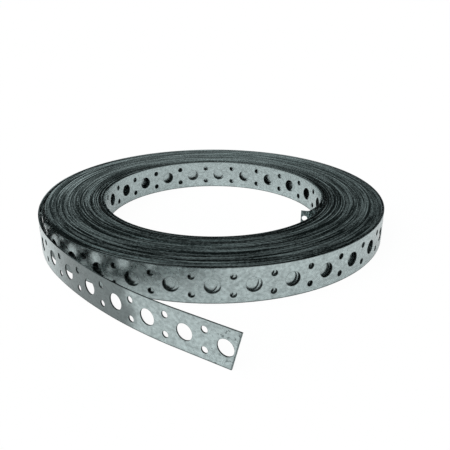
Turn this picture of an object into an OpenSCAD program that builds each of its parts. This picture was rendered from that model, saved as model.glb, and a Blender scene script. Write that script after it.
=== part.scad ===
// Coil of perforated steel strap, lying flat, with its free tail and its inner end.
// Millimetres. The coil's axis is +Z, the floor is z = 0 and the tail's straight end runs along +X.

/* [Strap] */
// width of the strap, which is the height of the coil
strap_width = 20; // [17:0.5:26]
// thickness of the sheet
thickness = 0.7; // [0.5:0.05:0.8]

/* [Perforation] */
// distance between neighbouring large holes along the strap
hole_pitch = 21; // [18:0.05:24]
// diameter of the large holes on the middle line
large_hole_d = 8.5; // [5:0.1:9]
// diameter of the small paired holes
small_hole_d = 3.5; // [2:0.1:4]
// distance between the two small holes of a pair, across the strap
pair_spacing = 10.2; // [8:0.1:11]

/* [Coil] */
// radius of the bore, to the inner face of the first full turn
bore_radius = 72.9; // [66:0.1:80]
// number of full turns in the coil
turns = 42; // [30:1:46]
// growth of the radius with each turn: one thickness and the slack between turns
turn_pitch = 0.925; // [0.9:0.005:1]
// depth of the open spiral seam between the turns, at both ends of the coil
seam_depth = 1; // [0.6:0.1:2]

/* [Free tail] */
// inner radius of the tail where it opens away from the coil
tail_radius_1 = 136.9; // [130:0.1:145]
// angle over which the tail opens at the first radius
tail_angle_1 = 36.8; // [32:0.1:42]
// inner radius of the flatter part that follows
tail_radius_2 = 266.3; // [230:0.1:300]
// angle of the flatter part
tail_angle_2 = 21; // [18:0.1:24]
// length of the straight end, to the middle of the cut
tail_straight = 31; // [30.5:0.1:40]
// distance from the middle of the cut back to the first large hole
tail_margin = 5.4; // [5:0.1:6]
// how much further the top corner of the cut reaches than the bottom corner
cut_skew = 4.9; // [0:0.1:5]

/* [Inner end] */
// inner radius of the curl, where the end comes away from the bore
curl_radius = 50; // [46:0.5:56]
// angle of the curl
curl_angle = 42; // [38:0.5:48]
// angle of the kink at the end of the curl, into the bore
kink_angle = 64; // [50:1:80]
// length of the straight tab after the kink
tab_length = 4.8; // [4.8:0.1:7]
// distance from the inner cut to the first pair of small holes
tab_margin = 2.3; // [2.2:0.1:3]
// distance from the inner cut to the second pair, from which the holes keep their even pitch
inner_margin = 16.9; // [16.5:0.1:21]

/* [Hidden] */
$fn = 180;
hole_fn = 36;
gap = turn_pitch - thickness;
half_gap = gap / 2;
mid = thickness / 2;
// lengths of strap that follow one another overlap a little, each set in slightly from the one before
lap = 0.1;
lap_inset = 0.004;

// The spiral is drawn with half turns about two centres that lie half a turn pitch apart.
front_centre = [0, 0];
back_centre = [-turn_pitch / 2, 0];
function front_radius(k) = bore_radius + k * turn_pitch;
function back_radius(k) = front_radius(k) + turn_pitch / 2;

// The tail goes on from the last back half turn, each arc tangent to the one before.
tail_start = front_radius(turns);
arc_1_centre = [tail_radius_1 - tail_start, 0];
arc_1_end = 180 + tail_angle_1;
arc_step = tail_radius_1 - tail_radius_2;
arc_2_centre = arc_1_centre + arc_step * [cos(arc_1_end), sin(arc_1_end)];
arc_2_end = arc_1_end + tail_angle_2;
straight_start = arc_2_centre + tail_radius_2 * [cos(arc_2_end), sin(arc_2_end)];
frame_turn = 270 - arc_2_end;

// Lengths along the middle of the sheet, counted from the free cut.
function arc_length(radius, angle) = (radius + mid) * angle * PI / 180;
s_arc_2 = tail_straight;
s_arc_1 = s_arc_2 + arc_length(tail_radius_2, tail_angle_2);
s_back = s_arc_1 + arc_length(tail_radius_1, tail_angle_1);
s_front = s_back + arc_length(back_radius(turns - 1), 180);
s_outer_end = s_front + arc_length(front_radius(turns - 1), 180);
outer_count = floor((s_outer_end - tail_margin - large_hole_d) / hole_pitch);

// Lengths along the middle of the sheet, counted from the inner cut.
i_curl = tab_length;
i_back = i_curl + arc_length(curl_radius, curl_angle);
i_front = i_back + arc_length(back_radius(-1), 180);
// the curl lies too close to the turn behind it for that turn to show its holes
curl_shade = 22;
i_end = i_front + arc_length(front_radius(0), 180 - curl_shade);
inner_count = floor((i_end - inner_margin - large_hole_d) / hole_pitch);
// the large hole between the first two pairs stays clear of the kink
inner_first = max((tab_margin + inner_margin) / 2, tab_length + 1 + large_hole_d / 2);

// Section through a stack of turns, with the seam open at the top and bottom between neighbours.
module turn_section(first_radius, count) {
    square_height = strap_width - 2 * seam_depth;
    translate([first_radius, seam_depth])
        square([(count - 1) * turn_pitch + thickness, square_height]);
    for (k = [0 : count - 1])
        translate([first_radius + k * turn_pitch, 0])
            square([thickness, strap_width]);
}

// Half turns of the coil: the front half, then the back half, which holds one turn more.
module coil() {
    rotate([0, 0, 180])
        rotate_extrude(angle = 180)
            turn_section(front_radius(0), turns);
    translate(back_centre)
        rotate_extrude(angle = 180)
            turn_section(back_radius(-1), turns + 1);
}

// A length of bare strap bent about the origin, set in a little on both faces.
module strap_arc(radius, start, angle, inset = 0) {
    rotate_extrude(angle = angle, start = start)
        translate([radius + inset, 0])
            square([thickness - 2 * inset, strap_width]);
}

// The straight end of the tail, cut at a slant.
module tail_end() {
    lower = tail_straight - cut_skew / 2;
    upper = tail_straight + cut_skew / 2;
    inset = 2 * lap_inset;
    outline = [[-lap, 0], [lower, 0], [upper, strap_width], [-lap, strap_width]];
    translate(straight_start)
        rotate([0, 0, arc_2_end + 90])
            translate([0, -inset, 0])
                rotate([90, 0, 0])
                    linear_extrude(thickness - 2 * inset)
                        polygon(outline);
}

// The whole free tail.
module tail() {
    translate(arc_1_centre)
        strap_arc(tail_radius_1, 180, tail_angle_1);
    lap_angle = arc_angle(tail_radius_2, lap);
    translate(arc_2_centre)
        strap_arc(tail_radius_2, arc_1_end - lap_angle, tail_angle_2 + lap_angle, lap_inset);
    tail_end();
}

// Moves to the middle of the sheet at the kink, turned so that the tab runs along local -Y.
module at_kink() {
    translate([front_radius(-1) - curl_radius, 0, 0])
        rotate([0, 0, -curl_angle])
            translate([curl_radius + mid, 0, 0])
                rotate([0, 0, -kink_angle])
                    children();
}

// The inner end: it curls away from the bore and kinks inward to a short tab.
module inner_end() {
    knuckle = 1.4 * mid;
    translate([front_radius(-1) - curl_radius, 0, 0])
        strap_arc(curl_radius, -curl_angle, curl_angle);
    at_kink() {
        translate([-mid, -tab_length, 0])
            cube([thickness, tab_length, strap_width]);
        cylinder(h = strap_width, r = knuckle, $fn = hole_fn);
    }
}

// One row of holes across the strap, cut along local X from the inner side to the outer side.
module hole_row(paired, inner_reach, outer_reach) {
    reach = thickness + inner_reach + outer_reach;
    d = paired ? small_hole_d : large_hole_d;
    offsets = paired ? [-pair_spacing / 2, pair_spacing / 2] : [0];
    for (z = offsets)
        translate([-inner_reach, 0, strap_width / 2 + z])
            rotate([0, 90, 0])
                cylinder(h = reach, d = d, $fn = hole_fn);
}

// A row of holes on an arc about a centre, at an angle and an inner radius.
module arc_row(centre, angle, radius, paired, inner_reach, outer_reach) {
    translate(centre)
        rotate([0, 0, angle])
            translate([radius, 0, 0])
                hole_row(paired, inner_reach, outer_reach);
}

// Angle that a length along the sheet takes up at an inner radius.
function arc_angle(radius, length) = length * 180 / PI / (radius + mid);

// The row of holes at a length s from the free cut.
module outer_row(s, paired) {
    if (s < s_arc_2) {
        translate(straight_start)
            rotate([0, 0, arc_2_end])
                translate([0, s_arc_2 - s, 0])
                    hole_row(paired, half_gap, half_gap);
    } else if (s < s_arc_1) {
        angle = arc_2_end - arc_angle(tail_radius_2, s - s_arc_2);
        arc_row(arc_2_centre, angle, tail_radius_2, paired, half_gap, half_gap);
    } else if (s < s_back) {
        angle = arc_1_end - arc_angle(tail_radius_1, s - s_arc_1);
        arc_row(arc_1_centre, angle, tail_radius_1, paired, half_gap, half_gap);
    } else if (s < s_front) {
        radius = back_radius(turns - 1);
        angle = 180 - arc_angle(radius, s - s_back);
        arc_row(back_centre, angle, radius, paired, half_gap, half_gap);
    } else {
        radius = front_radius(turns - 1);
        angle = 360 - arc_angle(radius, s - s_front);
        arc_row(front_centre, angle, radius, paired, half_gap, half_gap);
    }
}

// The row of holes at a length s from the inner cut.
module inner_row(s, paired) {
    if (s < i_curl) {
        at_kink()
            translate([-mid, s - i_curl, 0])
                hole_row(paired, 1, 1);
    } else if (s < i_back) {
        angle = arc_angle(curl_radius, s - i_curl) - curl_angle;
        arc_row([front_radius(-1) - curl_radius, 0], angle, curl_radius, paired, 1, half_gap);
    } else if (s < i_front) {
        radius = back_radius(-1);
        angle = arc_angle(radius, s - i_back);
        arc_row(back_centre, angle, radius, paired, 1, half_gap);
    } else {
        radius = front_radius(0);
        angle = 180 + arc_angle(radius, s - i_front);
        arc_row(front_centre, angle, radius, paired, 1, half_gap);
    }
}

// The one piece: coil, tail and inner end, pierced through its outermost and innermost turns.
module strap() {
    color([0.66, 0.69, 0.68])
        rotate([0, 0, frame_turn])
            difference() {
                union() {
                    coil();
                    tail();
                    inner_end();
                }
                for (k = [0 : outer_count]) {
                    outer_row(tail_margin + k * hole_pitch, false);
                    outer_row(tail_margin + (k + 0.5) * hole_pitch, true);
                }
                inner_row(tab_margin, true);
                inner_row(inner_first, false);
                for (k = [0 : inner_count]) {
                    inner_row(inner_margin + k * hole_pitch, true);
                    inner_row(inner_margin + (k + 0.5) * hole_pitch, false);
                }
            }
}

strap();
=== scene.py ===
"""Studio scene of a coil of perforated steel strap, lying flat with its free tail.

Lengths are in metres and set angles in degrees; directions worked out from them are in radians.
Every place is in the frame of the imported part: the coil's axis is +Z, the floor is z = 0 and the
straight end of the tail runs along +X.
"""

import logging
import math
from bisect import bisect_right
from dataclasses import dataclass, field, replace
from enum import Enum
from itertools import accumulate
from typing import Any, Callable, Optional, Sequence, Union

import bmesh
import bpy
from bmesh.types import BMEdge, BMesh, BMFace, BMVert
from mathutils import Matrix, Vector


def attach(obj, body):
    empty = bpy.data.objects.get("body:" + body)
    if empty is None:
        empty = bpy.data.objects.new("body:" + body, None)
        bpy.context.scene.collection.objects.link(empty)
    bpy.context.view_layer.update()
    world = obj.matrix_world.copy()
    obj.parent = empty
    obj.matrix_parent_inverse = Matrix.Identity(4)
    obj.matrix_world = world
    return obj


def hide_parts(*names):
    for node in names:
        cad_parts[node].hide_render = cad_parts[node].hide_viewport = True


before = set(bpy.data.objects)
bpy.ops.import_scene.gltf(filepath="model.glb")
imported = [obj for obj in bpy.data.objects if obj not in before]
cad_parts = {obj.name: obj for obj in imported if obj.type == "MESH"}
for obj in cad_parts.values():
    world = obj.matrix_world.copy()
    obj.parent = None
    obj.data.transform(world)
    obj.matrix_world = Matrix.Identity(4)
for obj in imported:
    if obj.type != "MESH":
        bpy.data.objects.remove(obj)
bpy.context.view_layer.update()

LOG = logging.getLogger("strap_coil")
MM = 0.001
UV_NAME = "along_strap"
NOISE_MEAN = 0.5

Colour = tuple[float, float, float]
Span = tuple[float, float]
Shifts = tuple[list[float], list[float]]
Inputs = dict[Union[int, str], Any]


class Finish(Enum):
    """Finishes of the strap, with their slots in its mesh."""

    FACE = 0
    EDGE = 1
    HOLE = 2


@dataclass(frozen=True)
class Section:
    """Cross section of the strap."""

    width: float = 20 * MM
    thickness: float = 0.7 * MM

    @property
    def mid(self) -> float:
        """Distance from a face to the middle of the sheet."""
        return self.thickness / 2


@dataclass(frozen=True)
class Perforation:
    """Punched pattern: one large hole and one pair of small holes in each pitch.

    Attributes:
        lead: length from the start of a pitch to the middle of its large hole.
    """

    pitch: float = 21 * MM
    large_radius: float = 4.25 * MM
    small_radius: float = 1.75 * MM
    pair_spacing: float = 10.2 * MM
    large_sides: int = 32
    small_sides: int = 16
    lead: float = 8 * MM


@dataclass(frozen=True)
class Hole:
    """A punched hole of the flat sheet."""

    along: float
    across: float
    radius: float
    sides: int


@dataclass(frozen=True)
class Slack:
    """Looseness of the half turns near one end of the coil.

    Attributes:
        most: largest extra step from one half turn to the next.
        loosest: half turn with that step, counted from the end.
        spread: number of half turns over which it fades.
    """

    most: float
    loosest: float
    spread: float

    def at(self, half: int) -> float:
        """Extra step at a half turn counted from the end."""
        away = (half - self.loosest) / self.spread
        return self.most * math.exp(-away * away)


@dataclass(frozen=True)
class Coil:
    """Sizes of the coil, its tail and its inner end. Radii are those of the inner face."""

    bore_radius: float = 72.9 * MM
    turns: int = 42
    turn_pitch: float = 0.925 * MM
    tail_straight: float = 31 * MM
    tail_radius_1: float = 136.9 * MM
    tail_angle_1: float = 36.8
    tail_radius_2: float = 266.3 * MM
    tail_angle_2: float = 21.0
    tail_margin: float = 5.4 * MM
    cut_skew: float = 4.9 * MM
    curl_radius: float = 50 * MM
    curl_angle: float = 42.0
    kink_radius: float = 0.5 * MM
    kink_angle: float = 64.0
    tab_length: float = 4.8 * MM
    tab_margin: float = 2.3 * MM
    inner_first: float = 10.05 * MM
    inner_margin: float = 16.9 * MM
    outer_slack: Slack = Slack(0.55 * MM, 0.0, 1.2)
    inner_slack: Slack = Slack(0.80 * MM, 2.5, 2.0)

    @property
    def outer_radius(self) -> float:
        """Radius of the outermost half turn."""
        return self.bore_radius + (self.turns - 0.5) * self.turn_pitch

    def half_turns(self) -> list[float]:
        """Radii of the half turns, from the outermost to the innermost.

        The outermost and innermost turns lie looser, and the ones between them tighter.

        Returns:
            The radii.
        """
        count = 2 * self.turns
        loose = [
            self.outer_slack.at(half) + self.inner_slack.at(count - 1 - half)
            for half in range(count)
        ]
        tight = (self.turns * self.turn_pitch - sum(loose)) / count
        radii = [self.outer_radius]
        for extra in loose:
            radii.append(radii[-1] - tight - extra)
        return radii

    def kink_trim(self, mid: float) -> float:
        """Length that the rounded kink takes off the curl and off the tab."""
        return (self.kink_radius + mid) * math.tan(math.radians(self.kink_angle) / 2)


def heading(angle: float) -> Vector:
    """Unit vector in the floor plane at an angle in radians."""
    return Vector((math.cos(angle), math.sin(angle)))


@dataclass(frozen=True)
class Stretch:
    """A stretch of strap of one bend, walked inward from the free cut.

    Attributes:
        start: point of the inner face where the stretch starts.
        outward: direction there from the inner face to the outer one, in radians.
        length: length in the middle of the sheet.
        radius: radius of the bend, or None where the stretch is straight.
        mid: distance from a face to the middle of the sheet.
        first_turn: turn of the coil at the start, counted from the tail.
    """

    start: Vector
    outward: float
    length: float
    radius: Optional[float]
    mid: float
    first_turn: float

    @property
    def centre(self) -> Vector:
        """Centre of the bend."""
        return self.start - (self.radius or 0.0) * heading(self.outward)

    def at(self, distance: float) -> tuple[Vector, float]:
        """Place on the stretch.

        Args:
            distance: length walked from the start, in the middle of the sheet.

        Returns:
            The point of the inner face and the outward direction there, in radians.
        """
        if self.radius is None:
            ahead = self.outward - math.pi / 2
            return self.start + distance * heading(ahead), self.outward
        turned = self.outward - distance / (self.radius + self.mid)
        return self.centre + self.radius * heading(turned), turned


@dataclass(frozen=True)
class Wave:
    """A slow wave of the wound turns."""

    per_turn: float
    height: float
    phase: float

    def at(self, turn: float) -> float:
        """Value of the wave at a turn counted from the tail."""
        return self.height * math.cos(2 * math.pi * self.per_turn * turn + self.phase)


@dataclass(frozen=True)
class Bunching:
    """How the turns gather into groups on one side of the coil.

    Attributes:
        groups: number of turns in each group, from the outside inward.
        closed: gap between two turns of a group.
        widening: power by which the gaps between groups widen inward.
        kept: gaps at the outside and at the inside that stay as they are.
    """

    groups: tuple[int, ...]
    closed: float = 0.05 * MM
    widening: float = 2.0
    kept: int = 2

    def shifts(self, gaps: Sequence[float]) -> list[float]:
        """Outward shift of each turn.

        Args:
            gaps: even gaps between the turns on this side, from the outside inward.

        Returns:
            The shifts, one for each turn.
        """
        moved = range(self.kept, len(gaps) - self.kept)
        opened = [end - 1 for end in accumulate(self.groups) if end - 1 in moved]
        share = {gap: (gap / len(gaps)) ** self.widening for gap in opened}
        spare = sum(gaps[gap] - self.closed for gap in moved) / sum(share.values())
        wanted = [
            self.closed + spare * share.get(gap, 0.0) if gap in moved else even
            for gap, even in enumerate(gaps)
        ]
        return [0.0, *accumulate(even - new for even, new in zip(gaps, wanted))]


@dataclass(frozen=True)
class Settling:
    """How unevenly the turns lie: bunched on two sides, and lifted most where the tail leaves.

    Attributes:
        spread: waves that move the turns outward and inward.
        lift: waves that lift the turns off the floor.
        tail_side: bunching on the side where the tail leaves.
        far_side: bunching on the side across from it.
        ease_turns: turns over which the waves come in at each end of the coil.
        far_side_lift: share of the lift away from the tail's side.
        tuck: how far the turn under the root of the tail springs out against it.
        tuck_at: turn that does so, counted from the tail.
        tuck_turns: turns over which it fades.
    """

    spread: tuple[Wave, ...] = (Wave(1.07, 0.05 * MM, 2.6), Wave(2.11, 0.03 * MM, 0.4))
    lift: tuple[Wave, ...] = (
        Wave(0.31, 0.10 * MM, 1.0),
        Wave(0.46, 0.12 * MM, 2.2),
        Wave(1.43, 0.10 * MM, 3.1),
        Wave(2.27, 0.06 * MM, 5.2),
        Wave(3.61, 0.03 * MM, 0.7),
    )
    tail_side: Bunching = Bunching((3, 4, 3, 4, 3, 4, 3, 2, 2, 2, 2, 2, 2, 1, 2, 1))
    far_side: Bunching = Bunching((6, 5, 4, 5, 4, 3, 3, 3, 2, 2, 2, 1))
    ease_turns: float = 0.8
    far_side_lift: float = 0.35
    tuck: float = 1.05 * MM
    tuck_at: float = 0.99
    tuck_turns: float = 0.15

    def side_shifts(self, radii: Sequence[float], thickness: float) -> Shifts:
        """Outward shifts of the turns on the two sides.

        Args:
            radii: radii of the half turns, from the outermost to the innermost.
            thickness: thickness of the sheet.

        Returns:
            The shifts on the side where the tail leaves and on the far side.
        """
        gaps = [2 * (outer - inner) - thickness for outer, inner in zip(radii, radii[1:])]
        return self.tail_side.shifts(gaps[0::2]), self.far_side.shifts(gaps[1::2])

    def ease(self, turn: float, last: float) -> float:
        """Share of the waves at a turn, which rises smoothly from none at the coil's two ends.

        Args:
            turn: turn counted from the tail.
            last: turn at which the coil ends.

        Returns:
            The share.
        """
        reach = min(turn, last - turn) / self.ease_turns
        share = min(max(reach, 0.0), 1.0)
        return share * share * (3 - 2 * share)

    def tucked(self, turn: float) -> float:
        """How far the strap springs out against the root of the tail at a turn."""
        away = (turn - self.tuck_at) / self.tuck_turns
        return self.tuck * math.exp(-away * away)

    def offsets(self, turn: float, last: float, shifts: Shifts) -> Span:
        """Outward and upward offset of the strap.

        The strap passes the tail's side at whole turns and the far side half a turn later.

        Args:
            turn: turn counted from the tail.
            last: turn at which the coil ends.
            shifts: outward shifts on the two sides.

        Returns:
            The offset outward and the offset upward.
        """
        side = math.cos(2 * math.pi * turn)
        near, far = max(side, 0.0) ** 2, max(-side, 0.0) ** 2
        ease = self.ease(turn, last)
        bunched = near * shifts[0][math.floor(turn + 0.5)] + far * shifts[1][math.floor(turn)]
        outward = bunched + ease * sum(wave.at(turn) for wave in self.spread) + self.tucked(turn)
        most = sum(wave.height for wave in self.lift)
        upward = most + sum(wave.at(turn) for wave in self.lift)
        share = self.far_side_lift + (1 - self.far_side_lift) * near
        return outward, ease * share * upward


@dataclass
class Route:
    """The strap's way from the free cut of the tail to the cut of the inner end."""

    coil: Coil
    section: Section
    settling: Settling
    stretches: list[Stretch] = field(default_factory=list, init=False)
    starts: list[float] = field(default_factory=list, init=False)
    length: float = field(default=0.0, init=False)
    turns: float = field(default=0.0, init=False)
    wound_from: float = field(default=0.0, init=False)
    wound_to: float = field(default=0.0, init=False)
    shifts: Shifts = field(init=False)

    def __post_init__(self) -> None:
        """Work out how the turns bunch and chain the stretches."""
        self.shifts = self.settling.side_shifts(self.coil.half_turns(), self.section.thickness)
        self._chain()

    def _add(self, radius: Optional[float], length: float = 0.0, degrees: float = 0.0,
             wound: bool = False) -> Stretch:
        """Append a stretch where the last one ends.

        Args:
            radius: radius of the bend, or None for a straight stretch.
            length: length of a straight stretch.
            degrees: angle of a bend.
            wound: whether the stretch counts as part of the coil's turns.

        Returns:
            The new stretch.
        """
        if self.stretches:
            last = self.stretches[-1]
            start, outward = last.at(last.length)
        else:
            start, outward = Vector((0.0, 0.0)), -math.pi / 2
        mid = self.section.mid
        if radius is not None:
            length = (radius + mid) * math.radians(degrees)
        stretch = Stretch(start, outward, length, radius, mid, self.turns)
        self.stretches.append(stretch)
        self.starts.append(self.length)
        self.length += length
        if wound:
            self.turns += degrees / 360
        return stretch

    def _chain(self) -> None:
        """Lay the tail, the turns and the inner end, and set the coil's axis on the frame's Z axis."""
        coil = self.coil
        self._add(None, length=coil.tail_straight)
        self._add(coil.tail_radius_2, degrees=coil.tail_angle_2)
        self._add(coil.tail_radius_1, degrees=coil.tail_angle_1)
        self.wound_from = self.length
        halves = [self._add(radius, degrees=180, wound=True) for radius in coil.half_turns()]
        self.wound_to = self.length
        trim = coil.kink_trim(self.section.mid)
        trim_angle = math.degrees(trim / (coil.curl_radius + self.section.mid))
        self._add(coil.curl_radius, degrees=coil.curl_angle - trim_angle)
        self._add(coil.kink_radius, degrees=coil.kink_angle)
        self._add(None, length=coil.tab_length - trim)
        axis = halves[0].centre - coil.turn_pitch / 2 * heading(halves[0].outward)
        self.stretches = [replace(stretch, start=stretch.start - axis) for stretch in self.stretches]

    def place(self, distance: float, depth: float, height: float) -> Vector:
        """Point of the strap in the frame.

        Args:
            distance: length from the free cut.
            depth: distance outward from the inner face of the sheet.
            height: distance up from the lower edge of the strap.

        Returns:
            The point.
        """
        index = max(bisect_right(self.starts, distance) - 1, 0)
        stretch = self.stretches[index]
        walked = distance - self.starts[index]
        point, outward = stretch.at(walked)
        if self.wound_from < distance < self.wound_to:
            # each stretch of the coil is half a turn
            turn = stretch.first_turn + 0.5 * walked / stretch.length
            spread, lift = self.settling.offsets(turn, self.turns, self.shifts)
            depth += spread
            height += lift
        point = point + depth * heading(outward)
        return Vector((point.x, point.y, height))

    def length_of_turns(self, first: float, count: float) -> float:
        """Length of the strap over a number of turns of the coil, about a mean radius."""
        radius = self.coil.outer_radius - (first + count / 2) * self.coil.turn_pitch
        return 2 * math.pi * radius * count

    def even_holes(self, pitch: float) -> Span:
        """Places of the first and the last large hole of the even pitches."""
        return self.coil.tail_margin, self.length - self.coil.inner_margin - pitch / 2


def geometry(bm: BMesh) -> list[Union[BMVert, BMEdge, BMFace]]:
    """All points, edges and faces of a mesh."""
    return bm.verts[:] + bm.edges[:] + bm.faces[:]


@dataclass
class StrapMesh:
    """The whole strap: pierced where its holes can be seen, plain in the buried turns.

    Attributes:
        pierced_turns: turns at each end of the coil that have their holes.
        plain_step_degrees: bend of one step of the buried turns.
        bend_step: length of one step of the pierced turns.
        over_cut: spare length past the inner cut, which the cut takes off.
        cut_reach: length at an end of the strap in which the wall of its cut lies.
        cut_lean: most that the wall of a cut leans across the strap.
        flat: how squarely a face looks off the sheet at least, if it is a broad face.
        crisp_degrees: angle from which an edge is crisp.
        weld: distance within which points become one.
        snap: distance within which a cut across takes the point that is there.
        at_end: distance within which a wall lies at an end of a sheet.
    """

    route: Route
    section: Section
    punch: Perforation
    pierced_turns: float = 3.05
    plain_step_degrees: float = 4.0
    bend_step: float = 2.33 * MM
    over_cut: float = 1 * MM
    cut_reach: float = 2.5 * MM
    cut_lean: float = 0.3
    flat: float = 0.9
    crisp_degrees: float = 30.0
    weld: float = 0.004 * MM
    snap: float = 0.002 * MM
    at_end: float = 0.01 * MM

    def build(self, name: str) -> bpy.types.Object:
        """Make the strap's object.

        Args:
            name: name of the object.

        Returns:
            The object, linked to the scene.
        """
        outer, outer_length = self._outer_sheet()
        inner, inner_length = self._inner_sheet()
        total = self.route.length
        plain = self._plain_sheet(total - inner_length - outer_length)
        strap = bmesh.new()
        self._wrap(outer, strap, lambda along: along)
        self._wrap(plain, strap, lambda along: outer_length + along)
        self._wrap(inner, strap, lambda along: total - along)
        bmesh.ops.remove_doubles(strap, verts=strap.verts[:], dist=self.weld)
        bmesh.ops.recalc_face_normals(strap, faces=strap.faces[:])
        mesh = bpy.data.meshes.new(name)
        strap.to_mesh(mesh)
        strap.free()
        piece = bpy.data.objects.new(name, mesh)
        bpy.context.scene.collection.objects.link(piece)
        return piece

    def _outer_sheet(self) -> tuple[BMesh, float]:
        """The tail and the outer turns as a flat sheet.

        Returns:
            The sheet and its length.
        """
        coil = self.route.coil
        reach = self.route.wound_from + self.route.length_of_turns(0, self.pierced_turns)
        return self._pierced(coil.tail_margin, reach - coil.tail_margin, coil.cut_skew, [])

    def _inner_sheet(self) -> tuple[BMesh, float]:
        """The inner end and the inner turns as a flat sheet, counted from the inner cut.

        Returns:
            The sheet and its length.
        """
        coil = self.route.coil
        reach = self.route.length_of_turns(coil.turns - self.pierced_turns, self.pierced_turns)
        end_holes = [
            *self._pair(coil.tab_margin),
            self._large(coil.inner_first),
            *self._pair(coil.inner_margin),
        ]
        return self._pierced(coil.inner_margin + self.punch.pitch / 2, reach, 0.0, end_holes)

    def _plain_sheet(self, length: float) -> BMesh:
        """The buried turns as a flat unpierced sheet.

        Args:
            length: length of the sheet.

        Returns:
            The sheet.
        """
        coil = self.route.coil
        mean_radius = (coil.outer_radius + coil.bore_radius) / 2
        steps = round(length / (mean_radius * math.radians(self.plain_step_degrees)))
        place = Matrix.Translation((length / 2, self.section.width / 2, 0))
        size = Matrix.Diagonal((length, self.section.width, 1, 1))
        bm = bmesh.new()
        bmesh.ops.create_grid(bm, x_segments=steps, y_segments=1, size=0.5, matrix=place @ size)
        self._thicken(bm, 0.0, length)
        return bm

    def _large(self, along: float) -> Hole:
        """The large hole at a place along the strap."""
        return Hole(along, self.section.width / 2, self.punch.large_radius, self.punch.large_sides)

    def _pair(self, along: float) -> list[Hole]:
        """The two small holes at a place along the strap."""
        heights = [self.section.width / 2 + side * self.punch.pair_spacing / 2 for side in (-1, 1)]
        return [
            Hole(along, height, self.punch.small_radius, self.punch.small_sides) for height in heights
        ]

    def _cell(self, bm: BMesh, start: float, length: float, holes: Sequence[Hole]) -> None:
        """Add a flat length of the strap with its holes, cut across so that it can bend.

        Args:
            bm: mesh that takes the cell.
            start: place along the strap where the cell begins.
            length: length of the cell.
            holes: holes in the cell.
        """
        width = self.section.width
        corners = [(start, 0), (start + length, 0), (start + length, width), (start, width)]
        verts = [bm.verts.new((x, y, 0)) for x, y in corners]
        rim = [bm.edges.new((a, b)) for a, b in zip(verts, verts[1:] + verts[:1])]
        for hole in holes:
            made = bmesh.ops.create_circle(
                bm, cap_ends=False, segments=hole.sides, radius=hole.radius,
                matrix=Matrix.Translation((hole.along, hole.across, 0)))
            rim += list({edge for vert in made["verts"] for edge in vert.link_edges})
        bmesh.ops.triangle_fill(bm, use_beauty=True, use_dissolve=False, edges=rim, normal=(0, 0, 1))
        parts = round(length / self.bend_step)
        for part in range(1, parts):
            bmesh.ops.bisect_plane(
                bm, geom=geometry(bm), dist=self.snap,
                plane_co=(start + part * length / parts, 0, 0), plane_no=(1, 0, 0))

    def _pierced(self, first_large: float, reach: float, skew: float,
                 end_holes: Sequence[Hole]) -> tuple[BMesh, float]:
        """Flat pierced sheet that starts at a cut.

        Args:
            first_large: place of the first large hole of the even pitch, counted from the cut.
            reach: length of the even pitches, which is rounded to whole ones.
            skew: how much further the upper corner of the cut reaches than the lower one.
            end_holes: holes between the cut and the even pitch.

        Returns:
            The sheet, with the cut at 0, and its length.
        """
        punch, width = self.punch, self.section.width
        count = round(reach / punch.pitch)
        start = first_large - punch.lead
        bm = bmesh.new()
        pattern = [self._large(first_large), *self._pair(first_large + punch.pitch / 2)]
        self._cell(bm, start, punch.pitch, pattern)
        cell = geometry(bm)
        for index in range(1, count):
            copy = bmesh.ops.duplicate(bm, geom=cell)
            moved = [item for item in copy["geom"] if isinstance(item, BMVert)]
            bmesh.ops.translate(bm, verts=moved, vec=(index * punch.pitch, 0, 0))
        if end_holes:
            self._cell(bm, -self.over_cut, start + self.over_cut, end_holes)
        bmesh.ops.remove_doubles(bm, verts=bm.verts[:], dist=self.weld)
        bmesh.ops.bisect_plane(
            bm, geom=geometry(bm), dist=self.snap,
            plane_co=(0, width / 2, 0), plane_no=(width, skew, 0), clear_inner=True)
        length = start + count * punch.pitch
        self._thicken(bm, length)
        return bm, length

    def _thicken(self, bm: BMesh, *open_at: float) -> None:
        """Give a flat sheet its thickness and its finishes.

        Args:
            bm: the flat sheet.
            open_at: places along it where it goes on, which stay open.
        """
        made = bmesh.ops.extrude_face_region(bm, geom=bm.faces[:], use_keep_orig=True)
        top = [item for item in made["geom"] if isinstance(item, BMVert)]
        bmesh.ops.translate(bm, verts=top, vec=(0, 0, self.section.thickness))
        bmesh.ops.recalc_face_normals(bm, faces=bm.faces[:])
        ends = [
            face for face in bm.faces
            if any(all(abs(v.co.x - at) < self.at_end for v in face.verts) for at in open_at)
        ]
        bmesh.ops.delete(bm, geom=ends, context="FACES")
        bm.loops.layers.uv.new(UV_NAME)
        for face in bm.faces:
            face.smooth = True
            face.material_index = self._finish(face).value
        crisp = math.radians(self.crisp_degrees)
        for edge in bm.edges:
            slots = {face.material_index for face in edge.link_faces}
            edge.smooth = len(slots) == 1 and edge.calc_face_angle(0.0) < crisp

    def _finish(self, face: BMFace) -> Finish:
        """Finish of a face of the flat sheet.

        Args:
            face: the face.

        Returns:
            The finish.
        """
        if abs(face.normal.z) > self.flat:
            return Finish.FACE
        centre = face.calc_center_median()
        at_edge = min(centre.y, self.section.width - centre.y) < self.section.thickness
        at_cut = centre.x < self.cut_reach and abs(face.normal.y) < self.cut_lean
        return Finish.EDGE if at_edge or at_cut else Finish.HOLE

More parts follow.
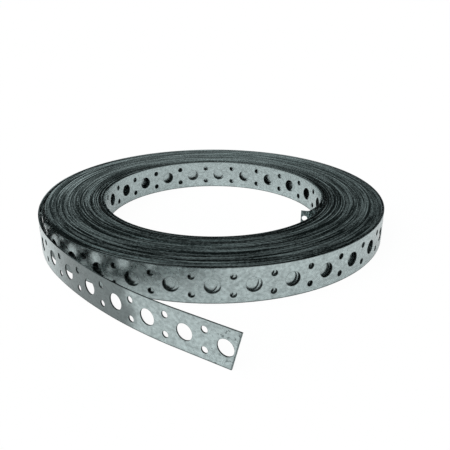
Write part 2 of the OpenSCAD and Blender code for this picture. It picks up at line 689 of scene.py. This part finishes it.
    def _wrap(self, flat: BMesh, strap: BMesh, station: Callable[[float], float]) -> None:
        """Bend a sheet along the route, map it by length and height, and add it to the strap.

        Args:
            flat: the sheet, which is freed.
            strap: the mesh that takes it.
            station: gives the length from the free cut for a place along the sheet.
        """
        layer = flat.loops.layers.uv[UV_NAME]
        for face in flat.faces:
            for loop in face.loops:
                along, across, depth = loop.vert.co
                height = across if face.material_index == Finish.FACE.value else across + depth
                loop[layer].uv = (station(along), height)
        for vert in flat.verts:
            along, across, depth = vert.co
            vert.co = self.route.place(station(along), depth, across)
        part = bpy.data.meshes.new("part")
        flat.to_mesh(part)
        flat.free()
        strap.from_mesh(part)
        bpy.data.meshes.remove(part)


class Sock:
    """A node socket that takes part in Python arithmetic."""

    def __init__(self, tree: "Tree", socket: Optional[bpy.types.NodeSocket]) -> None:
        """Wrap an output socket of a tree."""
        self.tree = tree
        self.socket = socket

    def _math(self, operation: str, first: Any, second: Any) -> "Sock":
        """Result of a Math node on two values."""
        return self.tree.node("ShaderNodeMath", {0: first, 1: second}, operation=operation)

    def __add__(self, other: Any) -> "Sock":
        """Sum."""
        return self._math("ADD", self, other)

    def __radd__(self, other: Any) -> "Sock":
        """Reflected sum."""
        return self._math("ADD", other, self)

    def __sub__(self, other: Any) -> "Sock":
        """Difference."""
        return self._math("SUBTRACT", self, other)

    def __rsub__(self, other: Any) -> "Sock":
        """Reflected difference."""
        return self._math("SUBTRACT", other, self)

    def __mul__(self, other: Any) -> "Sock":
        """Product."""
        return self._math("MULTIPLY", self, other)

    def __rmul__(self, other: Any) -> "Sock":
        """Reflected product."""
        return self._math("MULTIPLY", other, self)

    def __gt__(self, other: Any) -> "Sock":
        """One where this value is greater, else nothing."""
        return self._math("GREATER_THAN", self, other)

    def size(self) -> "Sock":
        """The value without its sign."""
        return self.tree.node("ShaderNodeMath", {0: self}, operation="ABSOLUTE")

    def folded(self, length: float) -> "Sock":
        """The value folded to and fro between 0 and a length."""
        return self._math("PINGPONG", self, length)

    def clamped(self) -> "Sock":
        """The value kept between 0 and 1."""
        return self.tree.node("ShaderNodeClamp", {"Value": self})

    def stepped(self, low: float, high: float) -> "Sock":
        """Smooth rise from 0 at low to 1 at high."""
        return self.tree.node(
            "ShaderNodeMapRange", {"Value": self, "From Min": low, "From Max": high},
            interpolation_type="SMOOTHSTEP")


@dataclass(frozen=True)
class Mottle:
    """A noise pattern on the strap.

    Attributes:
        along: features per metre along the strap.
        across: features per metre across it.
        detail: octaves of the noise.
        shift: offset that tells one pattern from another.
    """

    along: float
    across: float
    detail: float
    shift: float = 0.0


@dataclass(frozen=True)
class Relief:
    """Strength and depth of a bump."""

    strength: float
    depth: float


class Tree:
    """A node tree under construction."""

    def __init__(self, tree: bpy.types.NodeTree) -> None:
        """Empty the tree."""
        self.tree = tree
        tree.nodes.clear()

    @classmethod
    def of_material(cls, name: str) -> tuple[bpy.types.Material, "Tree"]:
        """Make a material.

        Args:
            name: name of the material.

        Returns:
            The material and its empty tree.
        """
        material = bpy.data.materials.new(name)
        material.use_nodes = True
        return material, cls(material.node_tree)

    def node(self, kind: str, inputs: Inputs, output: Union[int, str] = 0, **settings: Any) -> Sock:
        """Add a node.

        Args:
            kind: type of the node.
            inputs: value or socket for each named or numbered input.
            output: output that is returned.
            settings: properties of the node, set before its inputs.

        Returns:
            The wrapped output, which is empty for a node without outputs.
        """
        node = self.tree.nodes.new(kind)
        for name, value in settings.items():
            setattr(node, name, value)
        for name, value in inputs.items():
            socket = node.inputs[name]
            if isinstance(value, Sock):
                self.tree.links.new(value.socket, socket)
            else:
                socket.default_value = value
        return Sock(self, node.outputs[output] if len(node.outputs) else None)

    def mix(self, share: Any, first: Any, second: Any) -> Sock:
        """Mix two colours.

        Args:
            share: share of the second colour.
            first: first colour.
            second: second colour.

        Returns:
            The mixed colour.
        """
        colours = [value if isinstance(value, Sock) else (*value, 1.0) for value in (first, second)]
        # the node's sockets for colours have the same names as those for numbers, so they go by number
        inputs = {0: share, 6: colours[0], 7: colours[1]}
        return self.node("ShaderNodeMix", inputs, 2, data_type="RGBA")

    def noise(self, where: Sock, mottle: Mottle) -> Sock:
        """Noise on stretched coordinates.

        Args:
            where: coordinates.
            mottle: the pattern.

        Returns:
            The noise, about its mean.
        """
        place = self.node("ShaderNodeMapping", {
            "Vector": where,
            "Location": (mottle.shift, mottle.shift, 0),
            "Scale": (mottle.along, mottle.across, 1)})
        inputs = {"Vector": place, "Scale": 1.0, "Detail": mottle.detail}
        return self.node("ShaderNodeTexNoise", inputs)

    def bump(self, height: Sock, relief: Relief) -> Sock:
        """Normal of a bumpy surface."""
        inputs = {"Height": height, "Strength": relief.strength, "Distance": relief.depth}
        return self.node("ShaderNodeBump", inputs)

    def metal(self, inputs: Inputs) -> None:
        """Finish the tree as bare metal with these inputs of its shader."""
        shader = self.node("ShaderNodeBsdfPrincipled", {"Metallic": 1.0, **inputs})
        self.node("ShaderNodeOutputMaterial", {"Surface": shader})


def varied(middle: float, *parts: tuple[float, Sock]) -> Sock:
    """A value that noises move about its middle.

    Args:
        middle: the value where every noise is at its mean.
        parts: weight and noise of each part.

    Returns:
        The value.
    """
    value: Any = middle
    for weight, noise in parts:
        value = value + weight * (noise - NOISE_MEAN)
    return value


@dataclass(frozen=True)
class Rim:
    """A dark rim along an edge.

    Attributes:
        share: how dark it is.
        full: distance from the edge up to which it is at its darkest.
        gone: distance at which it ends.
    """

    share: float
    full: float
    gone: float

    def at(self, distance: Sock) -> Sock:
        """Darkness at a distance from the edge."""
        return self.share * (1 - distance.stepped(self.full, self.gone))


@dataclass(frozen=True)
class Galvanised:
    """Zinc-coated broad faces: fine rolled grain, faint spangle and specks, dark rims along the upper edge
    and the free cut, and painted shade: a dark rim along the lower edge, dark rims about the holes and a
    darker stretch of the tail.

    Attributes:
        grain: fine grain of the rolled sheet.
        dull: broad cloudy patches.
        scuff: specks where the coat is scuffed through.
        spangle: crystals of zinc per metre.
        tone_grain, tone_dull, tone_spangle: how much each pattern moves the tone.
        rough_grain, rough_dull, rough_spangle: how much each pattern moves the roughness.
        relief_grain, relief_spangle: how much each pattern stands out.
        speck_from: levels of the scuff noise between which specks begin.
        speck_share: how dark the specks are.
        end_scuff: lengths from the free cut between which the denser specks fade.
        end_scuff_gain: how much denser they are.
        painted_shade_rise, painted_shade_fall: lengths from the free cut where the painted shade on the
            tail begins and ends.
        painted_shade_sway: how unevenly it does so.
        painted_shade_share: how dark that painted shade is.
        painted_hole_shade_width: width of the painted shade, a dark rim about a hole.
        painted_hole_shade_share: how dark that painted shade is.
    """

    light: Colour = (0.450, 0.524, 0.524)
    dark: Colour = (0.281, 0.327, 0.327)
    # colour of the scuffed specks, and of the painted shade on the tail's stretch, the lower rim and the
    # hole rims
    speck_and_shade: Colour = (0.07, 0.085, 0.085)
    roughness: float = 0.27
    grain: Mottle = Mottle(480, 620, 4.0)
    dull: Mottle = Mottle(38, 60, 3.0, 7.0)
    scuff: Mottle = Mottle(520, 620, 2.0, 3.0)
    spangle: float = 330
    tone_middle: float = 0.5
    tone_grain: float = 2.6
    tone_dull: float = 0.7
    tone_spangle: float = 0.4
    rough_grain: float = 0.10
    rough_dull: float = 0.16
    rough_spangle: float = 0.08
    relief_grain: float = 0.6
    relief_spangle: float = 0.25
    relief: Relief = Relief(0.12, 0.2 * MM)
    speck_from: Span = (0.70, 0.76)
    speck_share: float = 0.7
    end_scuff: Span = (8 * MM, 16 * MM)
    end_scuff_gain: float = 0.10
    painted_shade_rise: Span = (52 * MM, 67 * MM)
    painted_shade_fall: Span = (104 * MM, 144 * MM)
    painted_shade_sway: float = 30 * MM
    painted_shade_share: float = 0.77
    # painted shade: a dark rim along the lower edge, where the strap meets the floor
    floor_contact_shade: Rim = Rim(0.9, 0.21 * MM, 0.70 * MM)
    upper_rim: Rim = Rim(0.6, 0.07 * MM, 0.35 * MM)
    cut_rim: Rim = Rim(0.8, 0.21 * MM, 0.70 * MM)
    painted_hole_shade_width: float = 0.20 * MM
    painted_hole_shade_share: float = 0.8

    def make(self, name: str, route: Route, punch: Perforation) -> bpy.types.Material:
        """Make the material.

        Args:
            name: name of the material.
            route: the strap's way.
            punch: the punched pattern.

        Returns:
            The material.
        """
        material, tree = Tree.of_material(name)
        where = tree.node("ShaderNodeUVMap", {}, uv_map=UV_NAME)
        place = tree.node("ShaderNodeSeparateXYZ", {"Vector": where}, "X")
        height = tree.node("ShaderNodeSeparateXYZ", {"Vector": where}, "Y")
        grain = tree.noise(where, self.grain)
        dull = tree.noise(where, self.dull)
        cell = self._spangle(where)
        tone = varied(
            self.tone_middle, (self.tone_grain, grain), (self.tone_dull, dull), (self.tone_spangle, cell))
        zinc = tree.mix(tone.clamped(), self.dark, self.light)
        # painted shade: a stretch of the tail is darkened towards the speck colour
        zinc_with_painted_shade = tree.mix(self.painted_shade_share * self._painted_shade_stretch(place, dull), zinc, self.speck_and_shade)
        # the specks are scuffs; the lower rim and the hole rims in this darkness are painted shade
        dark = self._specks(where, place) + self._rims(place, height, route, punch)
        rough = varied(
            self.roughness, (self.rough_dull, dull), (self.rough_grain, grain), (self.rough_spangle, cell))
        tree.metal({
            "Base Color": tree.mix(dark.clamped(), zinc_with_painted_shade, self.speck_and_shade),
            "Roughness": rough,
            "Normal": tree.bump(self.relief_grain * grain + self.relief_spangle * cell, self.relief)})
        return material

    def _spangle(self, where: Sock) -> Sock:
        """Tone of each zinc crystal.

        Args:
            where: coordinates on the strap.

        Returns:
            The tone, the same all over a crystal.
        """
        tree = where.tree
        scale = (self.spangle, self.spangle, 1)
        spot = tree.node("ShaderNodeMapping", {"Vector": where, "Scale": scale})
        crystal = tree.node("ShaderNodeTexVoronoi", {"Vector": spot, "Scale": 1.0}, "Color")
        return tree.node("ShaderNodeSeparateColor", {"Color": crystal})

    def _painted_shade_stretch(self, place: Sock, dull: Sock) -> Sock:
        """Share of the painted shade, a darker stretch of the tail, with its ends swayed by the cloudy
        patches.
        """
        swayed = place + self.painted_shade_sway * (dull - NOISE_MEAN)
        return swayed.stepped(*self.painted_shade_rise) * (1 - swayed.stepped(*self.painted_shade_fall))

    def _specks(self, where: Sock, place: Sock) -> Sock:
        """Darkness of the scuffed specks, which lie denser at the free cut.

        Args:
            where: coordinates on the strap.
            place: length from the free cut.

        Returns:
            The darkness.
        """
        near_cut = 1 - place.stepped(*self.end_scuff)
        scuff = where.tree.noise(where, self.scuff)
        return self.speck_share * (scuff + self.end_scuff_gain * near_cut).stepped(*self.speck_from)

    def _rims(self, place: Sock, height: Sock, route: Route, punch: Perforation) -> Sock:
        """Darkness of the rims along the strap's edges, its free cut and its holes; the rim along the
        lower edge, where the strap meets the floor, and the rims about the holes are painted shade.

        Args:
            place: length from the free cut.
            height: height on the strap.
            route: the strap's way.
            punch: the punched pattern.

        Returns:
            The darkness.
        """
        width = route.section.width
        last = route.even_holes(punch.pitch)[1]
        from_cut = place + route.coil.cut_skew / width * (height - width / 2)
        even = 1 - place.stepped(last, last + punch.lead)
        # painted shade: a dark rim about each hole of the even pitches
        holes = even * self._painted_hole_shade(place, height, route, punch)
        # the rim along the lower edge is painted shade where the strap meets the floor; the upper one is a
        # plain dark line
        edges = self.floor_contact_shade.at(height) + self.upper_rim.at(width - height)
        return edges + self.cut_rim.at(from_cut) + self.painted_hole_shade_share * holes

    def _painted_hole_shade(self, place: Sock, height: Sock, route: Route, punch: Perforation) -> Sock:
        """Share of the painted shade, a dark rim about the punched holes.

        The first half of the strap keeps the pitch of the tail, the rest that of the inner end.

        Args:
            place: length from the free cut.
            height: height on the strap.
            route: the strap's way.
            punch: the punched pattern.

        Returns:
            One at a hole, none outside its rim.
        """
        first, last = route.even_holes(punch.pitch)
        start = first + (place > (first + last) / 2) * ((last - first) % punch.pitch)
        along = (place - start).folded(punch.pitch / 2)
        across = (height - route.section.width / 2).size()
        beside = punch.pitch / 2 - along
        above = across - punch.pair_spacing / 2
        large = (along * along + across * across).stepped(
            punch.large_radius ** 2, (punch.large_radius + self.painted_hole_shade_width) ** 2)
        small = (beside * beside + above * above).stepped(
            punch.small_radius ** 2, (punch.small_radius + self.painted_hole_shade_width) ** 2)
        return 1 - large * small


@dataclass(frozen=True)
class SlitEdge:
    """Slit edges of the sheet: bare steel streaked along the cut, with painted glints and painted shade
    that make them bright or dark by turns.

    Attributes:
        low_angle_tint: tint of what the edge mirrors at a low angle.
        turn: slow change from one turn to another, which sets the painted glints and shade.
        streak: streaks along the edge.
        nick: fine nicks.
        glint_and_shade_by_turn, tone_streak, tone_nick: how much each pattern moves the tone.
        rough_nick: how much the nicks move the roughness.
    """

    # painted glints and shade: the tone runs from near black to bright from one turn to the next; the
    # streaks and nicks are the slit's own marks
    light: Colour = (0.78, 0.90, 0.90)
    dark: Colour = (0.012, 0.015, 0.015)
    low_angle_tint: Colour = (0.60, 0.66, 0.66)
    roughness: float = 0.14
    turn: Mottle = Mottle(12, 0, 1.0, 11.0)
    streak: Mottle = Mottle(55, 900, 3.0)
    nick: Mottle = Mottle(700, 900, 2.0, 5.0)
    tone_middle: float = 0.24
    glint_and_shade_by_turn: float = 4.2
    tone_streak: float = 1.6
    tone_nick: float = 1.5
    rough_nick: float = 0.15
    relief: Relief = Relief(0.25, 0.15 * MM)

    def make(self, name: str) -> bpy.types.Material:
        """Make the material.

        Args:
            name: name of the material.

        Returns:
            The material.
        """
        material, tree = Tree.of_material(name)
        where = tree.node("ShaderNodeUVMap", {}, uv_map=UV_NAME)
        turn = tree.noise(where, self.turn)
        streak = tree.noise(where, self.streak)
        nick = tree.noise(where, self.nick)
        tone = varied(
            self.tone_middle, (self.glint_and_shade_by_turn, turn), (self.tone_streak, streak), (self.tone_nick, nick))
        tree.metal({
            "Base Color": tree.mix(tone.clamped(), self.dark, self.light),
            "Roughness": varied(self.roughness, (self.rough_nick, nick)),
            "Specular Tint": (*self.low_angle_tint, 1.0),
            "Normal": tree.bump(nick, self.relief)})
        return material


@dataclass(frozen=True)
class PaintedShadePunchedWall:
    """Walls of the punched holes: torn bare steel, painted near black as shade in the holes.

    Attributes:
        torn: texture of the torn steel.
        tone_torn: how much it moves the tone.
    """

    # painted shade: the walls' colours are near black to stand for the shade in the holes
    light: Colour = (0.060, 0.075, 0.075)
    dark: Colour = (0.015, 0.019, 0.019)
    roughness: float = 0.55
    torn: Mottle = Mottle(900, 900, 3.0, 2.0)
    tone_middle: float = 0.5
    tone_torn: float = 2.0
    relief: Relief = Relief(0.3, 0.1 * MM)

    def make(self, name: str) -> bpy.types.Material:
        """Make the material.

        Args:
            name: name of the material.

        Returns:
            The material.
        """
        material, tree = Tree.of_material(name)
        where = tree.node("ShaderNodeUVMap", {}, uv_map=UV_NAME)
        torn = tree.noise(where, self.torn)
        tone = varied(self.tone_middle, (self.tone_torn, torn))
        tree.metal({
            "Base Color": tree.mix(tone.clamped(), self.dark, self.light),
            "Roughness": self.roughness,
            "Normal": tree.bump(torn, self.relief)})
        return material


@dataclass(frozen=True)
class PalePaper:
    """Matt white studio floor.

    Attributes:
        seen_white: share of plain white where the camera sees the floor.
        mirrored_white: share of plain white where metal mirrors it.
    """

    colour: Colour = (0.93, 0.93, 0.93)
    white: Colour = (1.0, 1.0, 1.0)
    seen_white: float = 0.94
    mirrored_white: float = 0.14

    def make(self, name: str) -> bpy.types.Material:
        """Make the material.

        Args:
            name: name of the material.

        Returns:
            The material.
        """
        material, tree = Tree.of_material(name)
        paper = tree.node("ShaderNodeBsdfDiffuse", {"Color": (*self.colour, 1.0)})
        white = tree.node("ShaderNodeEmission", {"Color": (*self.white, 1.0), "Strength": 1.0})
        seen = tree.node("ShaderNodeLightPath", {}, "Is Camera Ray")
        mirrored = tree.node("ShaderNodeLightPath", {}, "Is Glossy Ray")
        through = tree.node("ShaderNodeLightPath", {}, "Is Transmission Ray")
        share = self.seen_white * (seen + through) + self.mirrored_white * mirrored
        shader = tree.node("ShaderNodeMixShader", {0: share.clamped(), 1: paper, 2: white})
        tree.node("ShaderNodeOutputMaterial", {"Surface": shader})
        return material


@dataclass(frozen=True)
class StrapCoil:
    """The coil: one strap, with its finishes."""

    coil: Coil = Coil()
    section: Section = Section()
    settling: Settling = Settling()
    punch: Perforation = Perforation()
    face: Galvanised = Galvanised()
    edge: SlitEdge = SlitEdge()
    wall: PaintedShadePunchedWall = PaintedShadePunchedWall()

    def build(self) -> bpy.types.Object:
        """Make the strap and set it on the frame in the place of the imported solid.

        Returns:
            The strap's object.
        """
        route = Route(self.coil, self.section, self.settling)
        piece = StrapMesh(route, self.section, self.punch).build("wound_strap")
        self.dress(piece, route)
        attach(piece, "root")
        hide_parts("strap")
        return piece

    def dress(self, piece: bpy.types.Object, route: Route) -> None:
        """Give the strap its finishes, in the order of the slots.

        Args:
            piece: the strap's object.
            route: the strap's way.
        """
        finishes = {
            Finish.FACE: self.face.make("galvanised_face", route, self.punch),
            Finish.EDGE: self.edge.make("slit_edge"),
            Finish.HOLE: self.wall.make("punched_wall_painted_shade"),
        }
        for finish in Finish:
            piece.data.materials.append(finishes[finish])


@dataclass(frozen=True)
class Studio:
    """Floor, light and camera.

    Attributes:
        azimuth: how far the camera stands round the coil from the -Y side.
        pitch: how far it looks down.
        roll: how far it leans.
        focal_pixels: focal length, in pixels of the picture.
        image_pixels: width of the picture.
        sensor_width: width of the camera's sensor, in millimetres.
        aim: point of the floor that it looks at, to its right and away from it.
        distance: distance from that point.
        sun_azimuth: how far the lamp stands round the coil from the camera.
        sun_softness: how wide the lamp is, as seen from the coil.
        sky_from, sky_to: heights between which the pale low sky gives way to the dim high one.
        sky_lean: how much further down the dim sky comes on the camera's right.
    """

    floor: PalePaper = PalePaper()
    floor_radius: float = 120.0
    floor_sides: int = 96
    azimuth: float = 32.2
    pitch: float = 22.88
    roll: float = 0.36
    focal_pixels: float = 540.9
    image_pixels: int = 450
    sensor_width: float = 36.0
    clip_end: float = 1000.0
    aim: Span = (7.61 * MM, -8.97 * MM)
    distance: float = 366.2 * MM
    sun_strength: float = 3.3
    sun_elevation: float = 55.0
    sun_azimuth: float = -30.0
    sun_softness: float = 100.0
    sky_low: Colour = (0.95, 0.97, 0.97)
    sky_high: Colour = (0.165, 0.180, 0.180)
    sky_from: float = 0.245
    sky_to: float = 0.312
    sky_lean: float = 0.10

    def build(self) -> None:
        """Set up the whole studio."""
        self._lay_floor()
        self._light_sky()
        self._hang_lamp()
        self._set_camera()
        bpy.context.scene.view_settings.view_transform = "Standard"

    def _lay_floor(self) -> None:
        """Lay the wide white floor."""
        bm = bmesh.new()
        bmesh.ops.create_circle(bm, cap_ends=True, segments=self.floor_sides, radius=self.floor_radius)
        mesh = bpy.data.meshes.new("studio_floor")
        bm.to_mesh(mesh)
        bm.free()
        mesh.materials.append(self.floor.make("pale_paper"))
        floor = bpy.data.objects.new("studio_floor", mesh)
        bpy.context.scene.collection.objects.link(floor)

    def _light_sky(self) -> None:
        """Light the studio softly: pale near the horizon, dim above."""
        world = bpy.data.worlds.new("studio")
        bpy.context.scene.world = world
        world.use_nodes = True
        tree = Tree(world.node_tree)
        where = tree.node("ShaderNodeTexCoord", {}, "Generated")
        side = math.radians(self.azimuth)
        lean = (self.sky_lean * math.cos(side), self.sky_lean * math.sin(side), 1.0)
        height = tree.node("ShaderNodeVectorMath", {0: where, 1: lean}, "Value", operation="DOT_PRODUCT")
        colour = tree.mix(height.stepped(self.sky_from, self.sky_to), self.sky_low, self.sky_high)
        light = tree.node("ShaderNodeBackground", {"Color": colour, "Strength": 1.0})
        tree.node("ShaderNodeOutputWorld", {"Surface": light})

    def _hang_lamp(self) -> None:
        """Hang one broad soft lamp high on the camera's side, to its left."""
        lamp = bpy.data.lights.new("soft_lamp", "SUN")
        lamp.energy = self.sun_strength
        lamp.angle = math.radians(self.sun_softness)
        sun = bpy.data.objects.new("soft_lamp", lamp)
        side = math.radians(self.azimuth + self.sun_azimuth)
        up = math.radians(self.sun_elevation)
        toward = Vector((math.sin(side) * math.cos(up), -math.cos(side) * math.cos(up), math.sin(up)))
        sun.rotation_euler = toward.to_track_quat("Z", "Y").to_euler()
        bpy.context.scene.collection.objects.link(sun)

    def _set_camera(self) -> None:
        """Set the camera at the photograph's view."""
        data = bpy.data.cameras.new("camera")
        data.sensor_fit = "HORIZONTAL"
        data.sensor_width = self.sensor_width
        data.lens = self.sensor_width * self.focal_pixels / self.image_pixels
        data.clip_end = self.clip_end
        turn = Matrix.Rotation(math.radians(self.azimuth), 4, "Z")
        tip = Matrix.Rotation(math.radians(90 - self.pitch), 4, "X")
        lean = Matrix.Rotation(math.radians(self.roll), 4, "Z")
        back = Matrix.Translation((0, 0, self.distance))
        camera = bpy.data.objects.new("camera", data)
        camera.matrix_world = turn @ Matrix.Translation((*self.aim, 0)) @ tip @ back @ lean
        bpy.context.scene.collection.objects.link(camera)
        bpy.context.scene.camera = camera


def main() -> None:
    """Build the coil and its studio."""
    logging.basicConfig(level=logging.INFO, format="%(name)s: %(message)s")
    piece = StrapCoil().build()
    LOG.info("%s: %d faces", piece.name, len(piece.data.polygons))
    Studio().build()
    LOG.info("studio set")


if __name__ == "__main__":
    main()
